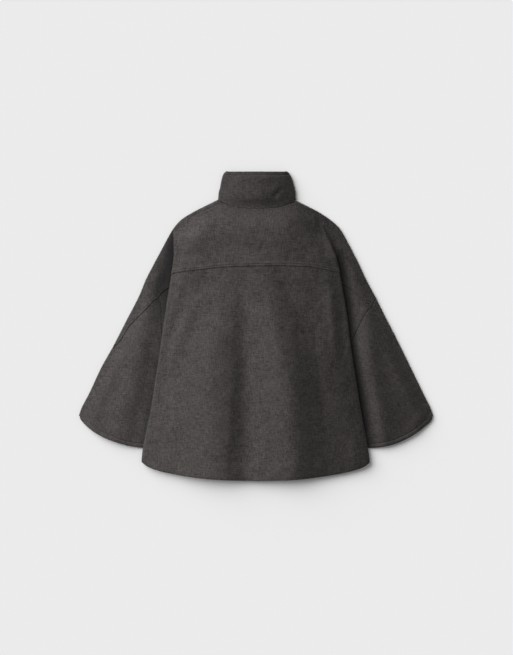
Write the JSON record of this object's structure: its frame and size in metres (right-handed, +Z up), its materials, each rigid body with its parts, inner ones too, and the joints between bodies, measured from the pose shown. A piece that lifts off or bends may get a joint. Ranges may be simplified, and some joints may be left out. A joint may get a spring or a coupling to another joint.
{
  "type": "wool cape coat",
  "caption": "Short dark wool cape coat with a high stand collar, back yoke and wide flared sleeves, laid flat with its back up.",
  "frame": {"origin": "centre of the coat's outline on the surface it lies on", "axes": "+X across the coat from its left sleeve to its right sleeve as seen, +Y from the hem to the collar, +Z up through the laid layers, towards the back of the coat"},
  "size_m": [0.9059, 0.7907, 0.0248],
  "materials": {
    "wool": "brushed wool melton, charcoal melange",
    "collar_wool": "brushed wool melton, charcoal melange, two plies"
  },
  "bodies": {
    "root": {"collar": "collar_wool", "back_yoke": "wool", "back_body": "wool", "sleeve_back_left": "wool", "sleeve_back_right": "wool", "sleeve_front_left": "wool", "sleeve_front_right": "wool", "front_left": "wool", "front_right": "wool"}
  },
  "joints": []
}
